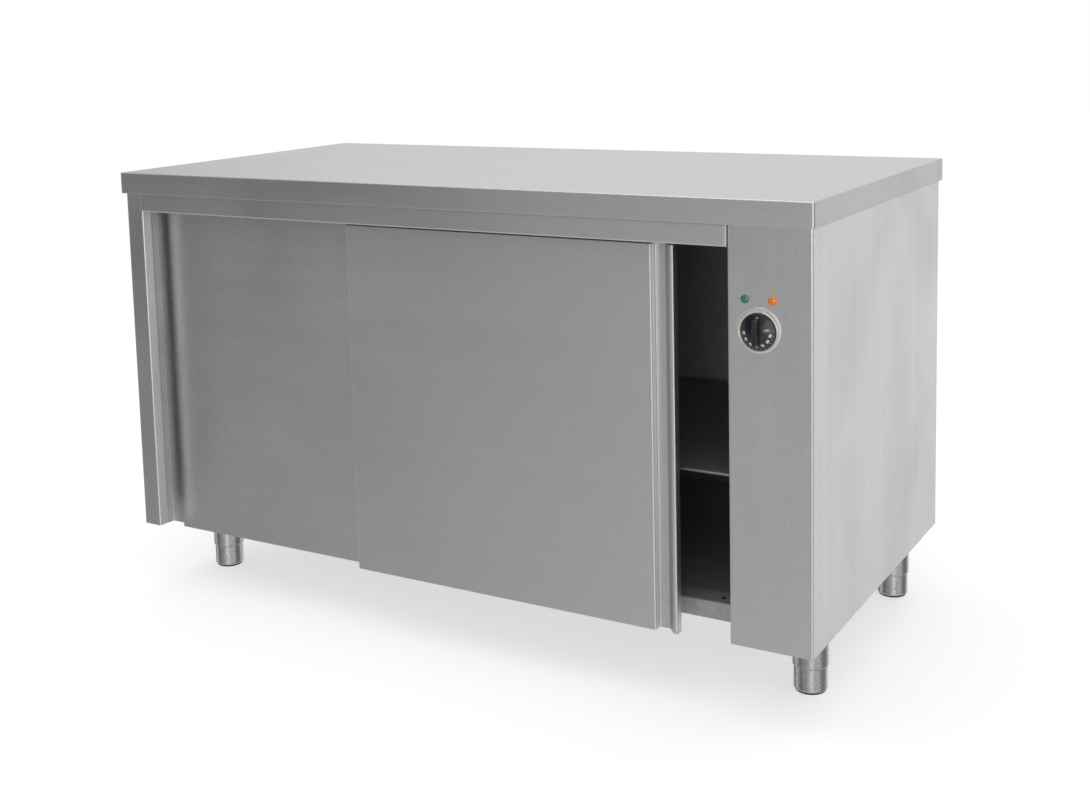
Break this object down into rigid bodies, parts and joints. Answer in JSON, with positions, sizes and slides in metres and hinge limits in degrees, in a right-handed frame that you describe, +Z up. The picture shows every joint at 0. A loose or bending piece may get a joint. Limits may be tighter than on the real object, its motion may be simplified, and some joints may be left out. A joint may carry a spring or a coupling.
{
  "type": "plate warmer cabinet",
  "caption": "Stainless hot cupboard with sliding doors hung on grooved rollers, finger-pull edges, lift-off shelf, control column with dial, fan and heater, and adjustable feet.",
  "frame": {"origin": "floor level under the centre of the worktop, feet screwed home", "axes": "+X to the right along the worktop, +Y to the back, +Z up; front is -Y"},
  "size_m": [1.4, 0.7264, 0.83],
  "materials": {
    "stainless": "fine horizontal grain, satin",
    "galvanised": "dull zinc-coated",
    "board": "raw chipboard",
    "rubber": "matte",
    "nylon": "natural",
    "black_plastic": "fine grain",
    "bezel_ring": "satin",
    "lens_green": "gloss",
    "lens_orange": "gloss",
    "heater_steel": "heat-tinted",
    "cream_plastic": "moulded"
  },
  "bodies": {
    "cabinet": {"worktop": "stainless", "worktop_board": "board", "top_stiffeners": "galvanised", "left_side": "stainless", "right_casing": "stainless", "partition": "stainless", "liner_left": "stainless", "liner_top": "stainless", "back_panel": "stainless", "service_cover": "stainless", "header_rail": "stainless", "front_track": "galvanised", "rear_track": "galvanised", "deck": "stainless", "deck_plugs": "black_plastic", "column_base": "stainless", "base_rails": "galvanised", "leg_sleeves": "stainless", "leg_inserts": "black_plastic", "shelf_uprights": "galvanised", "shelf_clips": "galvanised", "deck_guides": "nylon", "door_buffers": "rubber", "thermostat": "black_plastic", "bezel": "bezel_ring", "lamp_green": "lens_green", "lamp_orange": "lens_orange", "air_grille": "stainless", "fan_shroud": "galvanised", "fan_frame": "black_plastic", "fan_guard": "galvanised", "heater": "heater_steel", "terminal_block": "cream_plastic", "cable_gland": "black_plastic", "screws": "galvanised", "rivets": "galvanised"},
    "front_door": {"front_door_skin": "stainless", "front_door_liner": "galvanised", "front_hangers": "galvanised", "front_door_glide": "nylon"},
    "rear_door": {"rear_door_skin": "stainless", "rear_door_liner": "galvanised", "rear_hangers": "galvanised"},
    "roller_front_left": {"front_roller_left": "nylon"},
    "roller_front_right": {"front_roller_right": "nylon"},
    "roller_rear_left": {"rear_roller_left": "nylon"},
    "roller_rear_right": {"rear_roller_right": "nylon"},
    "dial": {"knob": "black_plastic", "dial_shaft": "galvanised"},
    "fan_rotor": {"fan_impeller": "black_plastic"},
    "leg_foot_front_left": {"foot_front_left": "stainless", "pad_front_left": "rubber"},
    "leg_foot_front_right": {"foot_front_right": "stainless", "pad_front_right": "rubber"},
    "leg_foot_rear_left": {"foot_rear_left": "stainless", "pad_rear_left": "rubber"},
    "leg_foot_rear_right": {"foot_rear_right": "stainless", "pad_rear_right": "rubber"},
    "shelf_tray": {"shelf": "stainless"}
  },
  "joints": [
    {"name": "front_door_slide", "type": "slide", "parent": "cabinet", "child": "front_door", "axis": [1, 0, 0], "range_m": [-0.5061, 0.126]},
    {"name": "rear_door_slide", "type": "slide", "parent": "cabinet", "child": "rear_door", "axis": [1, 0, 0], "range_m": [0, 0.6321]},
    {"name": "roller_front_left_turn", "type": "hinge", "parent": "front_door", "child": "roller_front_left", "pos_m": [-0.1129, -0.3096, 0.77], "axis": [0, 1, 0], "range_deg": [-3340, 840]},
    {"name": "roller_front_right_turn", "type": "hinge", "parent": "front_door", "child": "roller_front_right", "pos_m": [0.3882, -0.3096, 0.77], "axis": [0, 1, 0], "range_deg": [-3340, 840]},
    {"name": "roller_rear_left_turn", "type": "hinge", "parent": "rear_door", "child": "roller_rear_left", "pos_m": [-0.619, -0.2846, 0.77], "axis": [0, 1, 0], "range_deg": [-10, 4180]},
    {"name": "roller_rear_right_turn", "type": "hinge", "parent": "rear_door", "child": "roller_rear_right", "pos_m": [-0.1179, -0.2846, 0.77], "axis": [0, 1, 0], "range_deg": [-10, 4180]},
    {"name": "dial_turn", "type": "hinge", "parent": "cabinet", "child": "dial", "pos_m": [0.6095, -0.3416, 0.629], "axis": [0, 1, 0], "range_deg": [0, 270]},
    {"name": "fan_spin", "type": "hinge", "parent": "cabinet", "child": "fan_rotor", "pos_m": [0.6415, 0.04, 0.25], "axis": [1, 0, 0], "continuous": true},
    {"name": "foot_front_left_screw", "type": "slide", "parent": "cabinet", "child": "leg_foot_front_left", "axis": [0, 0, -1], "range_m": [0, 0.025]},
    {"name": "foot_front_right_screw", "type": "slide", "parent": "cabinet", "child": "leg_foot_front_right", "axis": [0, 0, -1], "range_m": [0, 0.025]},
    {"name": "foot_rear_left_screw", "type": "slide", "parent": "cabinet", "child": "leg_foot_rear_left", "axis": [0, 0, -1], "range_m": [0, 0.025]},
    {"name": "foot_rear_right_screw", "type": "slide", "parent": "cabinet", "child": "leg_foot_rear_right", "axis": [0, 0, -1], "range_m": [0, 0.025]},
    {"name": "shelf_lift", "type": "slide", "parent": "cabinet", "child": "shelf_tray", "axis": [0, 0, 1], "range_m": [0, 0.16]}
  ],
  "couplings": [
    {"joint": "roller_front_left_turn", "follows": "front_door_slide", "rad_per_m": 114.94},
    {"joint": "roller_front_right_turn", "follows": "front_door_slide", "rad_per_m": 114.94},
    {"joint": "roller_rear_left_turn", "follows": "rear_door_slide", "rad_per_m": 114.94},
    {"joint": "roller_rear_right_turn", "follows": "rear_door_slide", "rad_per_m": 114.94}
  ]
}
